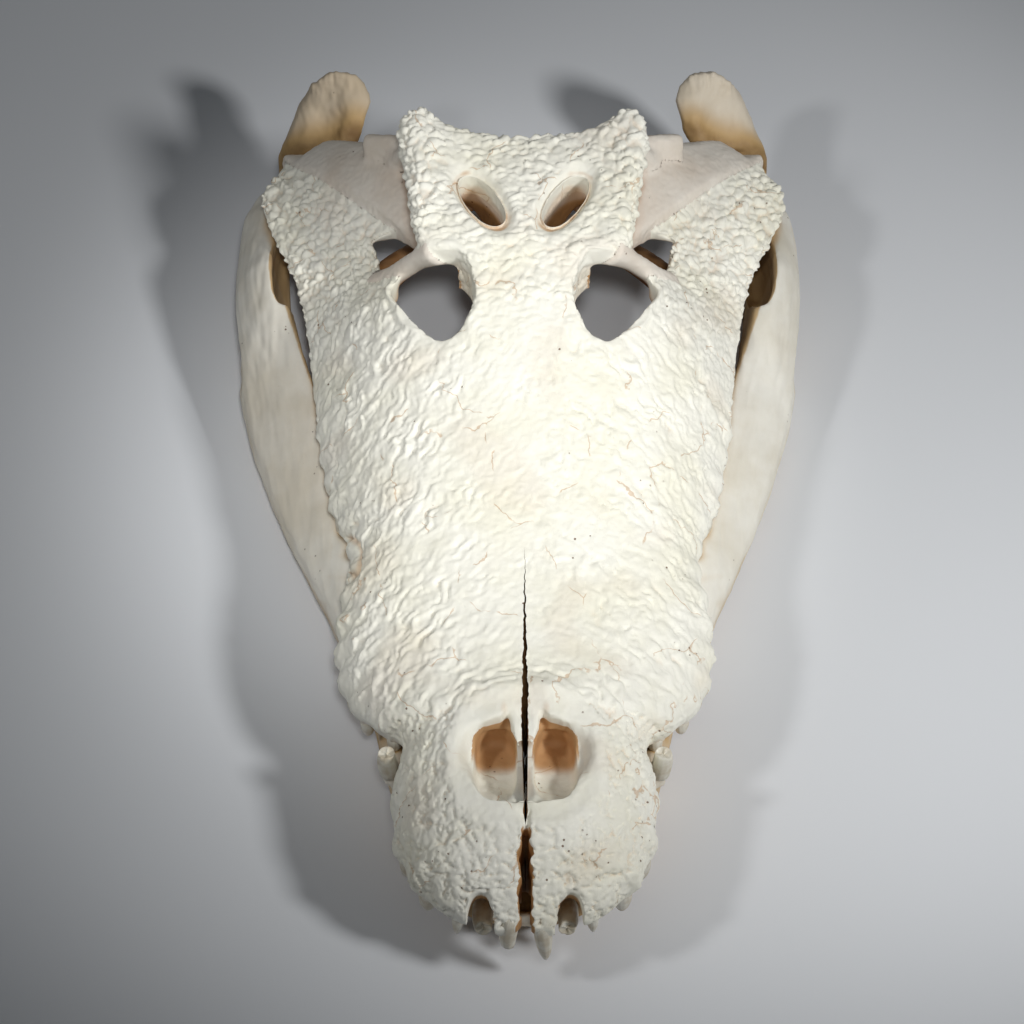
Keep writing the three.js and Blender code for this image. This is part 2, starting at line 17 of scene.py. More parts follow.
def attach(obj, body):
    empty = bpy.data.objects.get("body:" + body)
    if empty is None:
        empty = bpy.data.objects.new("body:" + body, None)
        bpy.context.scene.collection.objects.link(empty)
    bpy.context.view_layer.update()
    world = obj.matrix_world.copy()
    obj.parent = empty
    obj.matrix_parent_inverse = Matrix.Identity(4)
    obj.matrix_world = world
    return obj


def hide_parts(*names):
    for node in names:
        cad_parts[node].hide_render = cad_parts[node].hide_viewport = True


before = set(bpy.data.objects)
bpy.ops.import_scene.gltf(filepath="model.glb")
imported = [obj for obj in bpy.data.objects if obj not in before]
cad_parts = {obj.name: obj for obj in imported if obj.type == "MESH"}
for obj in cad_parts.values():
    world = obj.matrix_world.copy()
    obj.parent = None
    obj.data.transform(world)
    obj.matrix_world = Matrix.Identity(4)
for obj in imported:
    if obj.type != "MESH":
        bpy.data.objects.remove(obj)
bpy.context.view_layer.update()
bpy.ops.object.select_all(action="DESELECT")

# The camera stands before the snout and looks down on it at 52 degrees, with a long lens.
bpy.ops.object.camera_add(location=(-0.0032, -0.85305, 1.113), rotation=(math.radians(38), 0, 0))
camera = bpy.context.object
camera.data.sensor_width = 36
camera.data.lens = 91.4
bpy.context.scene.camera = camera

# The light: a lamp high before the snout on the right, a weaker one on the left, a narrow one beside
# the camera that makes a pool of light on the middle of the snout, and a pale room around.
bpy.context.scene.view_settings.view_transform = "Standard"
room = bpy.data.worlds.new("pale_room")
room.use_nodes = True
room.node_tree.nodes["Background"].inputs["Color"].default_value = (0.90, 0.95, 1.0, 1)
room.node_tree.nodes["Background"].inputs["Strength"].default_value = 0.078
bpy.context.scene.world = room


def aimed_lamp(place, target, power, size, cone):
    """A round lamp of the given radius. Its beam fades towards the edge of its cone, given in degrees."""
    bpy.ops.object.light_add(type="SPOT", location=place)
    lamp = bpy.context.object
    lamp.rotation_euler = (Vector(target) - Vector(place)).to_track_quat("-Z", "Y").to_euler()
    lamp.data.energy = power
    lamp.data.shadow_soft_size = size
    lamp.data.spot_size = math.radians(cone)
    lamp.data.spot_blend = 1


aimed_lamp(place=(0.75, -0.52, 0.85), target=(0.06, 0.12, 0), power=35, size=0.08, cone=54)
aimed_lamp(place=(-0.66, -0.39, 0.95), target=(0.28, 0.06, 0), power=11, size=0.07, cone=48)
aimed_lamp(place=(0.03, -0.78, 1.18), target=(-0.04, 0.0, 0.1), power=31, size=0.06, cone=18.5)


# The table is a wide sheet of pale, matt paper that lies under the skull, faintly uneven in tone.
# Its material is the first of this file. All of them are written as sums on wrapped sockets, which
# add their nodes as they are used.
class Varying:
    def __init__(self, tree, socket):
        self.tree = tree
        self.socket = socket

    def math(self, operation, *others):
        terms = dict(enumerate((self, *others)))
        return make(self.tree, "ShaderNodeMath", {"operation": operation}, terms)

    def __add__(self, other):
        return self.math("ADD", other)

    def __sub__(self, other):
        return self.math("SUBTRACT", other)

    def __rsub__(self, other):
        return self.math("MULTIPLY", -1).math("ADD", other)

    def __mul__(self, other):
        return self.math("MULTIPLY", other)

    __radd__ = __add__
    __rmul__ = __mul__

    def step(self, low, high):
        settings = {"interpolation_type": "SMOOTHSTEP", "clamp": True}
        limits = {"Value": self, "From Min": low, "From Max": high}
        return make(self.tree, "ShaderNodeMapRange", settings, limits)


def make(tree, kind, settings=None, inputs=None, output=0):
    node = tree.nodes.new(kind)
    for name, value in (settings or {}).items():
        setattr(node, name, value)
    for name, value in (inputs or {}).items():
        socket = node.inputs[name]
        if isinstance(value, Varying):
            tree.links.new(value.socket, socket)
        elif isinstance(value, tuple) and len(value) == 3 and socket.type == "RGBA":
            socket.default_value = (*value, 1)
        else:
            socket.default_value = value
    return Varying(tree, node.outputs[output])


def mix(share, first, second):
    tree = first.tree if isinstance(first, Varying) else share.tree
    sockets = {0: share, 6: first, 7: second}
    return make(tree, "ShaderNodeMix", {"data_type": "RGBA", "clamp_factor": True}, sockets, output=2)


def clouds(tree, place, scale, detail, output=0, **shares):
    sockets = {"Vector": place, "Scale": scale, "Detail": detail, **shares}
    return make(tree, "ShaderNodeTexNoise", {}, sockets, output)


def linear(red, green, blue):
    """A colour given as it looks on a screen, in 255 parts."""
    return tuple(((c / 255 + 0.055) / 1.055) ** 2.4 for c in (red, green, blue))


def new_material(name):
    material = bpy.data.materials.new(name)
    material.use_nodes = True
    tree = material.node_tree
    shader = tree.nodes["Principled BSDF"]
    place = Varying(tree, tree.nodes.new("ShaderNodeTexCoord").outputs["Object"])
    return material, tree, shader, place


bpy.ops.mesh.primitive_plane_add(size=8, location=(0, 0, 0))
table_top = bpy.context.object
table_top.name = "table_top"
bpy.ops.object.mode_set(mode="EDIT")
bpy.ops.mesh.subdivide(number_cuts=3)
bpy.ops.object.mode_set(mode="OBJECT")
paper, tree, shader, place = new_material("pale_paper")
cloud = clouds(tree, place, 3.0, 3.0)
paper_tone = mix(cloud, linear(228, 231, 234), linear(233, 235, 238))
tree.links.new(paper_tone.socket, shader.inputs["Base Color"])
shader.inputs["Roughness"].default_value = 0.7
shader.inputs["Specular IOR Level"].default_value = 0.2
table_top.data.materials.append(paper)

# The bones of the upper skull: the snout, brow, cheeks and skull table with their heavy sculpture,
# and the smooth ones below them. They are dry bone, fused along their seams. The surface is
# skinned over the frame's solids, softened, carved and parted again.

# The tip of the snout and the steps of the skin are in metres. The other values are in the
# millimetres of the carving: x from the middle line, y from the tip of the snout, z from the table.
SNOUT_TIP = np.array([0.003, -0.26905, 0.0])
FULL_STEP = 0.00105
STEP = FULL_STEP
GROWTHS = (0.0008, 0.0005)
NOSE_END = 103
BROW_START = 286
CHEEK_LINE = 66
CRACK_START = 79
CRACK_END = 181
CRACK_FLOOR = 69
CRACK_HALF_WIDTH = 2.4
NOSE_MIDDLE = 73
NOSE_POWER = 2.6
DISH_LEVEL = 79
HOLLOW = {"middle_x": 13.9, "middle_y": 73, "half_x": 9.8, "half_y": 23, "power": 3.2}
TEMPLE = {"middle_x": 22, "middle_y": 384, "half_x": 9, "half_y": 20.5, "power": 2.2, "turn": -0.5}
SOCKET_MIDDLE = (47, 331)
SOCKET_RIM = [
    (44, 353), (31, 347), (25.5, 330), (30, 313), (41, 305), (53, 315), (64, 333), (70, 347), (60, 357),
]
QUADRATE_SEAM = (64, 401)
SPUR = (74, 404, 93)
HORN = (55, 452)
TOOTH_PIT = {"middle_x": -88.2, "middle_y": 262.2, "half_x": 4.6, "half_y": 11.4}
upper_names = sorted(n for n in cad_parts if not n.startswith(("dentary", "jaw_rear")))
lower_names = sorted(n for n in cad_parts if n.startswith(("dentary", "jaw_rear")))


def copy_of(names, name):
    """One mesh of the named solids, with each face's material index telling which it came from."""
    bpy.ops.object.select_all(action="DESELECT")
    for index, source in enumerate(names):
        twin = bpy.data.objects.new(source + "_copy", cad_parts[source].data.copy())
        bpy.context.scene.collection.objects.link(twin)
        twin.data.materials.clear()
        twin.data.materials.append(bpy.data.materials.new(source))
        twin.select_set(True)
        if index == 0:
            bpy.context.view_layer.objects.active = twin
    bpy.ops.object.join()
    whole = bpy.context.object
    whole.name = name
    bpy.ops.object.mode_set(mode="EDIT")
    bpy.ops.mesh.select_all(action="SELECT")
    bpy.ops.mesh.remove_doubles(threshold=1e-5)
    bpy.ops.object.mode_set(mode="OBJECT")
    return whole


def read(whole, what="co"):
    values = np.empty(len(whole.data.vertices) * 3, np.float32)
    whole.data.vertices.foreach_get(what, values)
    return values.reshape(-1, 3).astype(float)


def measured(whole):
    """The places of a mesh's vertices in skull millimetres."""
    return (read(whole) - SNOUT_TIP) * 1000


def shape(whole, places):
    whole.data.vertices.foreach_set("co", (places / 1000 + SNOUT_TIP).astype(np.float32).ravel())
    whole.data.update()


def apply_modifier(whole, kind, **settings):
    modifier = whole.modifiers.new(kind, kind)
    for name, value in settings.items():
        setattr(modifier, name, value)
    bpy.context.view_layer.objects.active = whole
    bpy.ops.object.modifier_apply(modifier=modifier.name)


def tree_of(whole):
    corners = [v.co for v in whole.data.vertices]
    return BVHTree.FromPolygons(corners, [p.vertices for p in whole.data.polygons])


def owner_of(whole, tree, faces):
    """For each vertex, which bone's solid is nearest to it."""
    near = tree.find_nearest
    return np.array([faces[near(v.co)[2]] for v in whole.data.vertices])


def rise(values, low, high):
    t = np.clip((values - low) / (high - low), 0, 1)
    return t * t * (3 - 2 * t)


def bell(values, middle, width):
    return np.exp(-(((values - middle) / width) ** 2))


def oval(x, y, middle_x, middle_y, half_x, half_y, power=2.3, turn=0.0):
    """How far out a point is: 0 in an oval's middle, 1 on its rim and more outside."""
    dx = x - middle_x
    dy = y - middle_y
    across = math.cos(turn) * dx + math.sin(turn) * dy
    along = math.cos(turn) * dy - math.sin(turn) * dx
    return (np.abs(across / half_x) ** power + np.abs(along / half_y) ** power) ** (1 / power)


def from_socket(x, y):
    """The same for the eye sockets, whose rim is given by a few places on it."""
    middle_x, middle_y = SOCKET_MIDDLE
    arms = [(a - middle_x, b - middle_y) for a, b in SOCKET_RIM]
    angles, lengths = np.array(sorted((math.atan2(b, a), math.hypot(a, b)) for a, b in arms)).T
    dx = np.abs(x) - middle_x
    dy = y - middle_y
    return np.hypot(dx, dy) / np.interp(np.arctan2(dy, dx), angles, lengths, period=2 * math.pi)


def from_temple(x, y):
    """The same for the two openings in the table."""
    return oval(np.abs(x), y, **TEMPLE)


def from_nose(x, y):
    """The distance from the middle of the nose, in millimetres, measured on rounded squares."""
    return (np.abs(x) ** NOSE_POWER + np.abs(y - NOSE_MIDDLE) ** NOSE_POWER) ** (1 / NOSE_POWER)


def soften(whole, amount, rounds):
    """Smooths a skin by a share for each vertex. A coarse skin needs fewer rounds for the same look."""
    iterations = int(rounds * (FULL_STEP / STEP) ** 2) + 20
    group = whole.vertex_groups.new(name="soft")
    for level in range(1, 11):
        inside = np.flatnonzero(np.round(amount * 10) == level)
        if len(inside):
            group.add(inside.tolist(), level / 10, "REPLACE")
    apply_modifier(whole, "SMOOTH", factor=0.5, iterations=iterations, vertex_group="soft")
    whole.vertex_groups.remove(whole.vertex_groups["soft"])


def attribute(whole, name, values):
    layer = whole.data.attributes.new(name, "FLOAT", "POINT")
    layer.data.foreach_set("value", values.astype(np.float32))


def cells(points):
    """The distances to the nearest two of the scattered centres, and a number for the nearest."""
    found = []
    for p in points.tolist():
        lengths, centres = noise.voronoi(p)
        centre = centres[0]
        found.append((lengths[0], lengths[1], (7.31 * centre.x + 4.17 * centre.y + 9.73 * centre.z) % 1))
    return np.array(found).T


def billow(points):
    return np.array([noise.noise(p) for p in points.tolist()])


def wave(values, length, start):
    """Noise along one line."""
    return billow(np.stack([values / length + start, values * 0 + start, values * 0], 1))


cranium = copy_of(upper_names, "cranium")
jaw = copy_of(lower_names, "jaw")

# The crack behind the nose is closed here, and opened again where the two maxillae part.
places = measured(cranium)
x, y, z = places.T
crack = (np.abs(x) < CRACK_HALF_WIDTH) & (y > CRACK_START) & (y < CRACK_END) & (z > CRACK_FLOOR)
places[crack, 0] = 0.12 * np.sign(x[crack])
shape(cranium, places)

# A tooth's cone in the solids ends in a point, which takes a share of its length and starts with a
# share of its radius. A broken tooth ends flat, with a share of its radius, and is 2.4 radii long.
POINT_LENGTH = 0.45
POINT_RADIUS = 0.78
STUB_RADIUS = 0.7
STUB_LENGTH = 2.4


def cone_tips(whole):
    """The solids' cones: the tip, the way it points, the length, the radius and if it is cut off flat.

    A tip is a vertex with six equal edges, which end on a ring.
    """
    mesh = bmesh.new()
    mesh.from_mesh(whole.data)
    mesh.normal_update()
    tips = []
    for vertex in mesh.verts:
        lengths = [edge.calc_length() for edge in vertex.link_edges]
        if len(lengths) == 6 and min(lengths) > 0.0025 and max(lengths) - min(lengths) < 2e-5:
            ring = sum((edge.other_vert(vertex).co for edge in vertex.link_edges), Vector()) / 6
            radius = (vertex.link_edges[0].other_vert(vertex).co - ring).length
            axis = vertex.co - ring
            flat = axis.length < 0.001
            if flat:
                way = vertex.normal.copy()
                length = STUB_LENGTH * radius / STUB_RADIUS
                radius = radius / STUB_RADIUS
            else:
                way = axis.normalized()
                length = axis.length / POINT_LENGTH
                radius = radius / POINT_RADIUS
            tips.append((vertex.co.copy(), way, length, radius, flat))
    mesh.free()
    return tips


upper_tips = cone_tips(cranium)
lower_tips = cone_tips(jaw)

cranium_tree = tree_of(cranium)
cranium_faces = [p.material_index for p in cranium.data.polygons]
jaw_tree = tree_of(jaw)

SKY_REACH = 0.12
SKY = [Vector(way).normalized() for way in [
    (0, 0, 1), (0.5, 0, 0.9), (-0.5, 0, 0.9), (0, -0.6, 0.8), (0, 0.5, 0.9),
    (0.7, -0.4, 0.6), (-0.7, -0.4, 0.6),
]]


def shelter(whole):
    """The share of the sky that the bones hide from each vertex, spread a little over its neighbours."""
    starts = [Vector(p) for p in read(whole) + 0.003 * read(whole, "normal")]
    hidden = np.zeros(len(starts))
    for direction in SKY:
        for tree in (cranium_tree, jaw_tree):
            cast = tree.ray_cast
            hit = np.array([cast(start, direction, SKY_REACH)[0] is not None for start in starts])
            hidden += hit / len(SKY)
    hidden = np.minimum(hidden, 1)
    ends = np.empty(len(whole.data.edges) * 2, np.int64)
    whole.data.edges.foreach_get("vertices", ends)
    a, b = ends.reshape(-1, 2).T
    count = np.bincount(ends, minlength=len(starts))
    for _ in range(6):
        total = np.bincount(a, hidden[b], len(starts)) + np.bincount(b, hidden[a], len(starts))
        hidden = 0.4 * hidden + 0.6 * total / np.maximum(count, 1)
    return hidden


# The solids swell until they touch, and are skinned as one.
for growth in GROWTHS:
    apply_modifier(cranium, "DISPLACE", strength=growth, mid_level=0)
    apply_modifier(cranium, "REMESH", mode="VOXEL", voxel_size=STEP)
x, y, z = measured(cranium).T
owner = owner_of(cranium, cranium_tree, cranium_faces)
is_a = {name: owner == index for index, name in enumerate(upper_names)}


def any_of(*words):
    return np.any([is_a[name] for name in upper_names if name.startswith(words)], axis=0)


# Bone is soft in outline, but the nose, the cracks, thin bars and the spurs keep their edges.
nose_reach = from_nose(x, y)
amount = np.where(any_of("eye_bar", "wing"), 0.5, 1.0)
amount = np.where(any_of("braincase", "quadrate", "palate"), 0.6, amount)
amount = np.minimum(amount, 0.15 + 0.85 * rise(nose_reach, 30, 40))
amount = np.where(any_of("braincase") & (y > 430), 1.0, amount)
amount = np.minimum(amount, 0.1 + 0.9 * np.maximum(rise(np.abs(x), 4, 9), rise(y, 60, 110)))
spur = bell(np.abs(x), SPUR[0], 12) * bell(y, SPUR[1], 9) * bell(z, SPUR[2], 9)
amount = np.minimum(amount, 1 - 0.9 * rise(spur, 0.1, 0.4))
amount = np.minimum(amount, 0.35 + 0.65 * rise(from_temple(x, y), 1.3, 1.8))
amount = np.minimum(amount, 0.4 + 0.6 * rise(from_socket(x, y), 1.1, 1.3))
amount = np.minimum(amount, 0.3 + 0.7 * rise(np.hypot(np.abs(x) - 21, y - 5), 9, 16))
soften(cranium, amount, 60)

# The rim of the nose fades into its hollows.
x, y, z = measured(cranium).T
nose_reach = from_nose(x, y)
rim = bell(nose_reach, 28, 6) * (1 - rise(y, 84, 94)) * (z > 70) * rise(np.abs(x), 2.5, 6)
z = z + 7 * rise(-y, -68, -46) * (1 - rise(nose_reach, 22, 29)) * (z > 66) * (z < 94)
shape(cranium, np.stack([x, y, z], 1))
soften(cranium, rim, 90)

# Carving of the large forms: the dished sides of the nose, the boss behind it, the swellings over
# the roots of the teeth, the rims of the eye sockets and the funnels of the temple openings.
x, y, z = measured(cranium).T
normal = read(cranium, "normal")
outward = normal[:, 0] * np.sign(x)
above = rise(normal[:, 2], 0.05, 0.5)
outer = np.maximum(above, rise(outward, 0.2, 0.6) * rise(normal[:, 2], -0.6, 0.1))
nose_reach = from_nose(x, y)
hollow_reach = oval(np.abs(x), y, **HOLLOW)
temple_reach = from_temple(x, y)
socket_reach = from_socket(x, y)
dish = (z > DISH_LEVEL) * (z < 100) * (1 - rise(nose_reach, 24, 34)) * (1 - rise(y, 80, 93))
dish = dish * rise(y, 62, 76)
dish *= 1 - (np.abs(x) < 9) * (y > 74)
lift = -(z - DISH_LEVEL) * dish
lift += 1.4 * bell(nose_reach, 37, 4) * above * (y < 130)
lift += 3.0 * bell(y, 110, 8) * bell(np.abs(x), 12, 12) * above
lift -= 3.4 * (1 - rise(temple_reach, 1.0, 1.5)) * above * (z > 120) * any_of("skull_table")
rear_wall = (1 - rise(nose_reach, 26.5, 31)) * (y > 88) * rise(z, 75, 80) * rise(np.abs(x), 8, 12)
rear_wall *= 1 - rise(np.abs(x), 17, 22)
y = y - 3.2 * rear_wall
z = z + lift
swell = np.full(len(z), -1.0)
for tip, way, length, radius, flat in upper_tips:
    tx, ty, tz = (np.array(tip - way * length) - SNOUT_TIP) * 1000
    if abs(tx) > 12:
        near = bell(y, ty, 5.0) * bell(np.abs(x - tx), 6, 8) * bell(z, tz + 14, 12)
        swell += (radius * 1000 - 2.0) * 1.1 * near * rise(outward, 0.1, 0.6)
swell += 1.2 * bell(socket_reach, 1.12, 0.07) * above * (z > 80) * rise(np.abs(x), 50, 62) * (y < 352)
base = np.stack([x, y, z], 1)
moved = base + normal * swell[:, None]

# The sculpture of the outer surface: knobs on the cheeks, short ridges across the table and
# brow, long folds running out and forward on the snout and a blistered crust at its tip.
warp = np.stack([billow(base / 9 + shift) for shift in (0.0, 31.7, 77.1)], 1)
patchy = 0.45 + 0.55 * rise(billow(base / 19 + 5), -0.35, 0.35)
outer_rim = rise(np.abs(x), 50, 60) * (y < 352)
calm = 1 - (0.3 + 0.6 * outer_rim) * (1 - rise(socket_reach, 1.08, 1.26))
to_quadrate = 0.65 * (QUADRATE_SEAM[1] - y) + 0.76 * (np.abs(x) - QUADRATE_SEAM[0])
knob_region = any_of("cheek") * rise(y, 300, 350) * outer * calm * (0.15 + 0.85 * rise(to_quadrate, 1, 9))
table_region = any_of("skull_table", "brow") * rise(y, 300, 335) * outer
table_region = table_region * rise(temple_reach, 1.2, 1.5) * calm
snout_region = any_of("maxilla", "brow", "cheek") * (1 - knob_region) * (1 - table_region) * outer
snout_region *= calm * rise(y, 92, 104)
crust_region = any_of("premaxilla") * outer * rise(nose_reach, 33, 41)
relief = np.zeros(len(x))


def folded(region, scale, slant, blend):
    """Where the sculpture shows, and the warped places there, drawn out along a slanting line."""
    picked = np.flatnonzero(region > 0.02)
    p = base[picked] + warp[picked] * blend
    along = p[:, 1] + slant * np.abs(p[:, 0])
    across = p[:, 0] - slant * p[:, 1] * np.sign(base[picked, 0])
    return picked, np.stack([across / scale[0], along / scale[1], p[:, 2] / scale[2]], 1)


def add_knobs(region, height, scale, slant=0.0, blend=2.0, groove=0.4):
    """Domes of uneven height parted by sharp creases. The height is in millimetres."""
    picked, points = folded(region, scale, slant, blend)
    nearest, second, chance = cells(points)
    dome = (1 - groove) * (1 - 1.3 * nearest ** 1.5) + groove * rise(second - nearest, 0.0, 0.3)
    relief[picked] += region[picked] * height * (dome * (0.55 + 0.8 * chance) - 0.6)


def add_folds(region, height, scale, slant=0.0, blend=3.0):
    """Long ridges with narrow valleys between them."""
    picked, points = folded(region, scale, slant, blend)
    ridge = 1 - 2.4 * np.abs(billow(points)) - 0.9 * np.abs(billow(points * 2.1 + 7))
    relief[picked] += region[picked] * height * ridge


def add_grooves(region, depth, scale, slant=0.0, blend=3.0):
    """Short sharp cracks here and there along the borders of cells."""
    picked, points = folded(region, scale, slant, blend)
    nearest, second, _ = cells(points)
    here = rise(billow(points * 0.9 + 3), -0.1, 0.2)
    relief[picked] -= region[picked] * depth * here * (1 - rise(second - nearest, 0.02, 0.16))


rear_cheek = rise(y, 345, 385)
table_edge = rise(np.abs(x), 40, 52) * rise(y, 350, 365)
horn = bell(np.hypot(np.abs(x) - HORN[0], y - HORN[1]), 0, 12)
midline = bell(x, 0, 28)
add_knobs(knob_region * rear_cheek, 3.0, (5.6, 5.2, 5.4), blend=3.5)
add_knobs(knob_region * (1 - rear_cheek), 1.9, (4.8, 10.5, 6.0), slant=0.15, blend=3.5)
add_knobs(knob_region * patchy, 0.6, (2.9, 3.1, 3.0), blend=1.5)
blocky = table_region * (0.85 + 0.45 * table_edge) * (1 - 0.55 * horn)
add_knobs(blocky, 2.2, (7.0, 4.6, 6.0), slant=0.1, blend=4.5)
add_knobs(table_region * patchy * (1 - 0.6 * table_edge), 0.8, (3.1, 2.7, 3.0), blend=1.5)
add_folds(snout_region * patchy * (1 - 0.6 * midline), 1.15, (7.0, 27.0, 12.0), slant=-0.85, blend=6.0)
lumpy = snout_region * patchy * patchy * (1 - 0.4 * midline)
add_knobs(lumpy, 1.0, (5.0, 11.0, 8.0), slant=-0.85, blend=5.0, groove=0.25)
add_grooves(snout_region * patchy, 0.55, (6.5, 9.0, 8.0), slant=-0.6)
add_knobs(crust_region, 0.8, (7.5, 9.0, 8.0), slant=-0.4, blend=5.0, groove=0.3)
add_grooves(crust_region, 1.3, (5.2, 6.0, 6.0), slant=-0.3, blend=4.0)
add_grooves(crust_region, 1.0, (3.2, 3.6, 3.6), slant=0.2)
behind = bell(np.hypot(x, y - 70), 50 + 5 * warp[:, 0], 9) * rise(y, 88, 104) * above
around = np.stack([np.hypot(x, y - 70) / 4.5 + warp[:, 1], np.arctan2(x, y - 70) * 1.6, 0 * x], 1)
relief += 1.6 * behind * (0.5 - np.abs(billow(around)) * 2)
relief += 0.35 * billow(base / 2.6) * outer * calm
relief += 0.3 * billow(base / 14.0)
faces_up = normal[:, 2] * 0.79 - normal[:, 1] * 0.61 > 0.1
tooth_pit = oval(x, y + 0.86 * z, **TOOTH_PIT) + 9 * ~faces_up
relief -= 3.0 * bell(tooth_pit, 1.0, 0.28)
notch_rim = outer * bell(np.abs(x), 20, 9) * (y < 26)
relief += 1.5 * notch_rim * billow(base / 3.5)
moved = moved + normal * relief[:, None]
shape(cranium, moved)

# Painted shade, with some brown stain, where the bones shelter the surface from the sky. The inside of
# the nose is pale in front and painted with shade behind, and its dished sides are in the open. The rear
# wall behind the nose, the insides of the temple openings, the slit between the premaxillae and the pit
# of a tooth are painted with shade too.
shade_and_stain = shelter(cranium)
in_nose = rise(1.12 - hollow_reach, 0.0, 0.08) * (z < 84)
shade_and_stain *= 1 - rise(nose_reach, 21, 25) * (1 - rise(nose_reach, 36, 42)) * (z > 76)
shade_and_stain = np.where(in_nose > 0.5, 0.15 + 0.70 * rise(y, 70, 82), shade_and_stain)
shade_and_stain = np.maximum(shade_and_stain, 0.5 * bell(y, 98, 6) * bell(np.abs(x), 10, 3) * (z > 80))
in_temple = (1 - rise(temple_reach, 0.98, 1.12)) * (1 - rise(z, 118, 132)) * (z > 60)
shade_and_stain = np.maximum(shade_and_stain, 0.95 * in_temple)
in_slit = (np.abs(x) < 4) * (y < 48) * (1 - rise(normal[:, 2], 0.3, 0.6)) * (z > 40)
shade_and_stain = np.maximum(shade_and_stain, 0.9 * in_slit)
# The pit of the tooth on the side of the snout is painted with shade.
shade_and_stain = np.maximum(shade_and_stain, 0.5 * bell(tooth_pit, 0.95, 0.25))
attribute(cranium, "shade_and_stain", shade_and_stain)
attribute(cranium, "crease", relief)
attribute(cranium, "stain", 0.10 * rise(billow(base / 30 + 9), 0.1, 0.5) * above)
attribute(cranium, "pierced", 0.13 * crust_region + 0.04 * knob_region)


def edit(whole, work):
    """One step of edit mode on all of a mesh."""
    bpy.ops.object.select_all(action="DESELECT")
    whole.select_set(True)
    bpy.context.view_layer.objects.active = whole
    bpy.ops.object.mode_set(mode="EDIT")
    bpy.ops.mesh.select_all(action="SELECT")
    work()
    bpy.ops.object.mode_set(mode="OBJECT")


def store_normals(whole):
    """Keeps the shading of the whole, so that no seam shows between the parted bones."""
    layer = whole.data.attributes.new("whole_normal", "FLOAT_VECTOR", "POINT")
    layer.data.foreach_set("vector", read(whole, "normal").astype(np.float32).ravel())


def part_bones(whole, names, owner, closed):
    """Parts a skinned mesh by the bone that each vertex belongs to, and fills the ends of some."""
    whole.data.materials.clear()
    for name in names:
        whole.data.materials.append(bpy.data.materials.new(name))
    marks = [m.name for m in whole.data.materials]
    first = np.empty(len(whole.data.polygons), np.int32)
    whole.data.polygons.foreach_get("loop_start", first)
    corners = np.empty(len(whole.data.loops), np.int32)
    whole.data.loops.foreach_get("vertex_index", corners)
    whole.data.polygons.foreach_set("material_index", owner[corners[first]].astype(np.int32))
    edit(whole, lambda: bpy.ops.mesh.separate(type="MATERIAL"))
    parts = {}
    for part in list(bpy.context.selected_objects):
        mark = part.data.materials[part.data.polygons[0].material_index].name
        parts[names[marks.index(mark)]] = part
    for name in closed:
        edit(parts[name], lambda: bpy.ops.mesh.fill_holes(sides=0))
    return parts


def cleave(whole, at, direction):
    """Cuts a mesh in two along a plane, in skull millimetres, and gives what lies before and past it."""
    past = whole.copy()
    past.data = whole.data.copy()
    bpy.context.scene.collection.objects.link(past)
    cut = {"plane_co": tuple(np.array(at) / 1000 + SNOUT_TIP), "plane_no": direction, "use_fill": True}
    edit(whole, lambda: bpy.ops.mesh.bisect(**cut, clear_outer=True))
    edit(past, lambda: bpy.ops.mesh.bisect(**cut, clear_inner=True))
    return whole, past


# A face with more sides than this closes the end of a bone, at a seam.
MOST_SIDES = 12


def finish_bone(bone, name, material, joint_material):
    """Gives a bone its shading, its looks, those of its joint faces and its place in the frame."""
    bone.name = name + "_bone"
    bone.data.name = bone.name
    bone.data.shade_smooth()
    bone.data.materials.clear()
    bone.data.materials.append(material)
    bone.data.materials.append(joint_material)
    normals = np.empty(len(bone.data.vertices) * 3, np.float32)
    bone.data.attributes["whole_normal"].data.foreach_get("vector", normals)
    corners = np.empty(len(bone.data.loops), np.int32)
    bone.data.loops.foreach_get("vertex_index", corners)
    corner_normals = normals.reshape(-1, 3)[corners]
    sizes = np.empty(len(bone.data.polygons), np.int32)
    bone.data.polygons.foreach_get("loop_total", sizes)
    is_joint = sizes > MOST_SIDES
    bone.data.polygons.foreach_set("material_index", is_joint.astype(np.int32))
    for index in np.flatnonzero(is_joint):
        polygon = bone.data.polygons[index]
        corner_normals[polygon.loop_start:polygon.loop_start + polygon.loop_total] = polygon.normal
    bone.data.normals_split_custom_set(corner_normals.tolist())
    bone.data.attributes.remove(bone.data.attributes["whole_normal"])
    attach(bone, "root")
    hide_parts(name)


store_normals(cranium)
shell_names = ("premaxilla", "maxilla", "brow", "cheek")
part_names = ["shell"] + [name for name in upper_names if not name.startswith(shell_names)]
part_owner = np.zeros(len(owner), int)
for name in part_names[1:]:
    part_owner[is_a[name]] = part_names.index(name)
filled_names = [name for name in part_names[1:] if name not in ("skull_table", "braincase")]
bones = part_bones(cranium, part_names, part_owner, filled_names)
nose, rest = cleave(bones.pop("shell"), (0, NOSE_END, 0), (0, 1, 0))
snout, rest = cleave(rest, (0, BROW_START, 0), (0, 1, 0))
bones["premaxilla_right"], bones["premaxilla_left"] = cleave(nose, (0, 0, 0), (1, 0, 0))
bones["maxilla_right"], bones["maxilla_left"] = cleave(snout, (0, 0, 0), (1, 0, 0))
rest, bones["cheek_left"] = cleave(rest, (CHEEK_LINE, 0, 0), (1, 0, 0))
bones["cheek_right"], bones["brow"] = cleave(rest, (-CHEEK_LINE, 0, 0), (1, 0, 0))

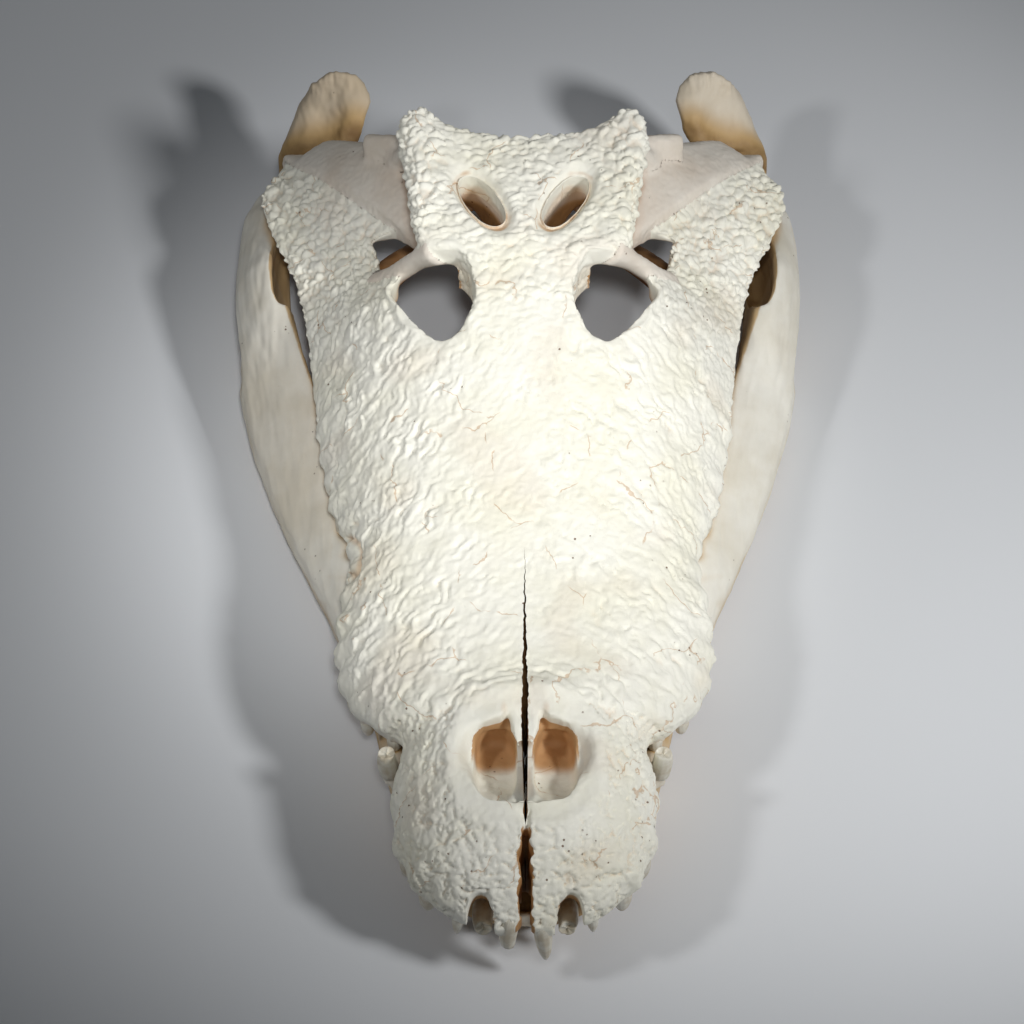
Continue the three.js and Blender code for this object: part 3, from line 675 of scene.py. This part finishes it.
# The seam along the middle: serrated between the two hollows of the nose, gaping as a crack behind
# it and closing towards the brow. Its edges are ragged.
GAPE_PLACES = [38, 45, 51, 77, 84, 100, 130, 178, 192]
GAPE_HALF_WIDTHS = [0, 1.2, 0.1, 0.1, 1.6, 1.6, 0.9, 0.15, 0]
for name, toward in [("premaxilla", 1), ("premaxilla", -1), ("maxilla", 1), ("maxilla", -1)]:
    bone = bones[f"{name}_{'left' if toward > 0 else 'right'}"]
    places = measured(bone)
    x, y, z = places.T
    near = (1 - rise(np.abs(x), 0, 6)) * rise(z, 56, 72)
    gape = np.interp(y, GAPE_PLACES, GAPE_HALF_WIDTHS)
    zigzag = 0.6 * bell(y, 64, 13) * (np.abs((y / 1.8) % 2 - 1) * 2 - 1)
    wander = (0.9 * wave(y, 7, 3.1) + 0.5 * wave(y, 2.3, 8.4)) * rise(y, 76, 84) * (1 - rise(y, 180, 192))
    ragged = 0.35 * wave(y, 1.9, 5.2 + 3 * toward) * np.minimum(gape, 1)
    slit = 1.6 * wave(y, 4.5, 12.7 + 5 * toward) + 0.9 * wave(y, 1.7, 40.7 + 5 * toward)
    slit *= bell(np.abs(x), 2.8, 2.0) * (1 - rise(y, 40, 48))
    x += (zigzag + wander + toward * (gape + ragged)) * near + slit
    shape(bone, np.stack([x, y, z], 1))


def bone_material(name, pale, worn, tan, deep_shade_and_grime, rough_depth, pebble_share, hairline_share=0):
    """Dry bone, painted with shade and brown stain where it is sheltered, and dotted with the small holes
    of blood vessels, which are painted dark with shade and grime.
    """
    material, tree, shader, place = new_material(name)
    shade_and_stain, crease, stain, pierced = [
        make(tree, "ShaderNodeAttribute", {"attribute_name": word}, output=2)
        for word in ("shade_and_stain", "crease", "stain", "pierced")
    ]
    cloud = clouds(tree, place, 22.0, 5.0, Roughness=0.6)
    grain = clouds(tree, place, 900.0, 4.0, Roughness=0.7)
    crust = clouds(tree, place, 320.0, 3.0, Distortion=0.8)
    pores = make(tree, "ShaderNodeTexVoronoi", {"feature": "F1"}, {"Vector": place, "Scale": 200.0})
    chance = clouds(tree, place, 60.0, 2.0)
    dots = (1 - pores.step(0.08, 0.14)) * (chance + pierced).step(0.60, 0.66)
    colour = mix(cloud.step(0.35, 0.7), linear(*pale), linear(*worn))
    colour = mix((1 - crease.step(-2.4, -0.6)) * 0.3, colour, linear(*tan))
    colour = mix(stain, colour, linear(*tan))
    # Painted shade, with some stain: tan where the bone is sheltered, and dark brown in the deepest
    # places.
    colour = mix(shade_and_stain.step(0.25, 0.95), colour, linear(*tan))
    colour = mix(shade_and_stain.step(0.8, 1.0) * cloud.step(0.3, 0.6) * 0.7, colour, linear(*deep_shade_and_grime))
    bend = clouds(tree, place, 45.0, 4.0, output=1)
    terms = {0: bend, 1: (0.022,) * 3, 2: place}
    wavy = make(tree, "ShaderNodeVectorMath", {"operation": "MULTIPLY_ADD"}, terms)
    to_edge = {"feature": "DISTANCE_TO_EDGE"}
    border = make(tree, "ShaderNodeTexVoronoi", to_edge, {"Vector": wavy, "Scale": 22.0})
    hairlines = (1 - border.step(0.003, 0.009)) * chance.step(0.50, 0.57) * hairline_share
    colour = mix(hairlines, colour, linear(*tan))
    # The small holes are painted dark: the shade inside them, with some grime.
    colour = mix(dots * 0.85, colour, linear(*deep_shade_and_grime))
    tree.links.new(colour.socket, shader.inputs["Base Color"])
    tree.links.new((0.5 + 0.2 * cloud).socket, shader.inputs["Roughness"])
    shader.inputs["Specular IOR Level"].default_value = 0.3
    height = grain * 0.10 + crust * pebble_share + cloud * 0.2 - dots * 1.2 - hairlines * 0.5
    bump = make(tree, "ShaderNodeBump", {}, {"Strength": 0.6, "Distance": rough_depth, "Height": height})
    tree.links.new(bump.socket, shader.inputs["Normal"])
    return material


ivory = bone_material(
    "ivory_bone", pale=(249, 247, 235), worn=(243, 240, 222), tan=(196, 150, 98), deep_shade_and_grime=(110, 70, 34),
    rough_depth=0.0006, pebble_share=0.7, hairline_share=0.5,
)
smooth = bone_material(
    "smooth_bone", pale=(238, 231, 219), worn=(222, 211, 196), tan=(184, 136, 86), deep_shade_and_grime=(96, 60, 30),
    rough_depth=0.0003, pebble_share=0.3,
)
joint_face, tree, shader, place = new_material("joint_face")
streak = clouds(tree, place, 300.0, 4.0)
joint_tone = mix(streak.step(0.3, 0.7), linear(182, 134, 82), linear(126, 84, 46))
tree.links.new(joint_tone.socket, shader.inputs["Base Color"])
shader.inputs["Roughness"].default_value = 0.8
for name, bone in bones.items():
    if name.startswith(("skull_table", *shell_names)):
        finish_bone(bone, name, ivory, joint_face)
    else:
        finish_bone(bone, name, smooth, smooth)

# The lower jaw: two long bones that meet behind the front teeth, smooth, with faint grooves along them,
# and a curved process behind the joint that is stained tan and painted brown at its root.
JAW_GROWTH = 0.0006
JAW_SPLIT = (0, 338, 40)
JAW_SPLIT_WAY = (0, 1, 0.35)
apply_modifier(jaw, "DISPLACE", strength=JAW_GROWTH, mid_level=0)
apply_modifier(jaw, "REMESH", mode="VOXEL", voxel_size=STEP)
x, y, z = measured(jaw).T
soften(jaw, 0.35 + 0.65 * (1 - rise(y, 495, 510)), 60)
normal = read(jaw, "normal")
base = measured(jaw)
x, y, z = base.T
relief = 0.7 * billow(base / np.array([7.0, 45.0, 6.0]))
relief += 0.35 * billow(base / np.array([3.0, 22.0, 3.0]))
relief += 0.2 * billow(base / 9)
tip_ridges = bell(y, 533, 8) * rise(z, 70, 84)
relief += 0.9 * tip_ridges * billow(np.stack([x / 2.2, y / 9, z / 9], 1))
moved = base + normal * (relief - 0.35)[:, None]
moved[:, 2] = np.maximum(moved[:, 2], 0)
shape(jaw, moved)
# Painted shade, with some stain, where the bones shelter the jaw and on the inward faces of its rear half
# under the skull. The root of the process is painted brown.
root = rise(y, 488, 497) * (1 - rise(y, 504, 532)) * (z > 45)
inner = 0.8 * rise(-normal[:, 0] * np.sign(x), 0.1, 0.5) * (z > 12) * (y > 330)
attribute(jaw, "shade_and_stain", np.maximum(shelter(jaw), np.maximum(root, inner * (y < 480))))
attribute(jaw, "crease", relief * 0.5)
tip_stain = rise(y, 496, 510) * np.where(x < 0, 0.55, 0.35)
attribute(jaw, "stain", tip_stain + 0.12 * bell(y, 300, 90) * (x < -100))
store_normals(jaw)
part_bones(jaw, ["jaw"], np.zeros(len(x), int), [])
jaw_right, jaw_left = cleave(jaw, (0, 0, 0), (1, 0, 0))
jaw_bones = {}
for word, half in [("right", jaw_right), ("left", jaw_left)]:
    front, rear = cleave(half, JAW_SPLIT, JAW_SPLIT_WAY)
    jaw_bones[f"dentary_{word}"] = front
    jaw_bones[f"jaw_rear_{word}"] = rear
jaw_material = bone_material(
    "jaw_bone", pale=(240, 237, 226), worn=(226, 220, 204), tan=(198, 164, 112), deep_shade_and_grime=(94, 62, 34),
    rough_depth=0.0003, pebble_share=0.25,
)
for name, bone in jaw_bones.items():
    finish_bone(bone, name, jaw_material, joint_face)

# The teeth: hollow cones of enamel over dentine, round, bluntly pointed and finely fluted, each
# set deep in its own socket. One is modelled with a crown one radius long, and copied to each place.
ROOT_LEVEL = -0.5
TOOTH_PROFILE = [
    (0.0, 1.0), (0.15, 0.985), (0.32, 0.93), (0.5, 0.82), (0.66, 0.68), (0.8, 0.5), (0.9, 0.33),
    (0.965, 0.17), (1.0, 0.05),
]
FLAT_LEVEL = 0.5
TEETH_TOP = 0.075
bpy.ops.object.select_all(action="DESELECT")
bpy.ops.mesh.primitive_circle_add(vertices=20, radius=1, fill_type="NGON", location=(0, 0, ROOT_LEVEL))
pattern = bpy.context.object
pattern.name = "tooth_pattern"
bpy.ops.object.transform_apply(location=True)
bpy.ops.object.mode_set(mode="EDIT")
bpy.ops.mesh.select_all(action="SELECT")
level = ROOT_LEVEL
width = 1.0
for next_level, next_width in TOOTH_PROFILE:
    share = next_width / width
    bpy.ops.mesh.extrude_region_move(TRANSFORM_OT_translate={"value": (0, 0, next_level - level)})
    bpy.ops.transform.resize(value=(share, share, 1), center_override=(0, 0, next_level))
    level = next_level
    width = next_width
bpy.ops.mesh.select_all(action="SELECT")
bpy.ops.mesh.normals_make_consistent(inside=False)
bpy.ops.object.mode_set(mode="OBJECT")
apply_modifier(pattern, "SUBSURF", levels=1, render_levels=1)
bpy.ops.object.shade_smooth()


def tooth_row(name, tips):
    """Copies of the tooth on the given cones. A broken one ends short, with an uneven top."""
    copies = []
    for index, (tip, way, length, radius, flat) in enumerate(tips):
        twin = bpy.data.objects.new(f"{name}_{index}", pattern.data.copy())
        bpy.context.scene.collection.objects.link(twin)
        local = read(twin)
        angle = np.arctan2(local[:, 1], local[:, 0])
        flute = 1 + 0.02 * np.cos(11 * angle) + 0.05 * np.cos(2 * angle)
        local[:, 0] *= flute
        local[:, 1] *= flute
        if flat:
            broken = FLAT_LEVEL + 0.02 * np.cos(angle * 2 + index) + 0.01 * np.cos(angle * 5)
            over = local[:, 2] - broken
            local[:, 2] = np.where(over > 0, broken - 0.1 * over, local[:, 2]) / FLAT_LEVEL
        h = np.clip(local[:, 2], 0, 1)
        bend = 0.22 * h ** 2 - 0.10 * h
        turn = np.array(Vector((0, 0, 1)).rotation_difference(way).to_matrix())
        sized = local * np.array([radius * 1.03, radius * 1.03, length * 1.02])
        placed = sized @ turn.T + np.array(tip - way * length)
        placed[:, 0] -= math.copysign(1, tip.x - SNOUT_TIP[0]) * bend * radius
        twin.data.vertices.foreach_set("co", placed.astype(np.float32).ravel())
        copies.append(twin)
    bpy.ops.object.select_all(action="DESELECT")
    for twin in copies:
        twin.select_set(True)
    bpy.context.view_layer.objects.active = copies[0]
    bpy.ops.object.join()
    row = bpy.context.object
    row.name = name
    row.data.name = name
    return row


enamel, tree, shader, place = new_material("enamel")
streak = clouds(tree, place, 160.0, 4.0)
tooth_colour = mix(streak.step(0.35, 0.7), linear(228, 224, 210), linear(204, 192, 168))
tree.links.new(tooth_colour.socket, shader.inputs["Base Color"])
tree.links.new((0.28 + 0.2 * streak).socket, shader.inputs["Roughness"])
tooth_bump = make(tree, "ShaderNodeBump", {}, {"Strength": 0.3, "Distance": 0.0004, "Height": streak})
tree.links.new(tooth_bump.socket, shader.inputs["Normal"])

for name, tips in [("upper_teeth", upper_tips), ("lower_teeth", lower_tips)]:
    for word, sign in [("left", 1), ("right", -1)]:
        chosen = [t for t in tips if (t[0].x - SNOUT_TIP[0]) * sign > 0 and t[0].z < TEETH_TOP]
        row = tooth_row(f"{name}_{word}", chosen)
        row.data.materials.append(enamel)
        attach(row, "root")
bpy.data.objects.remove(pattern)
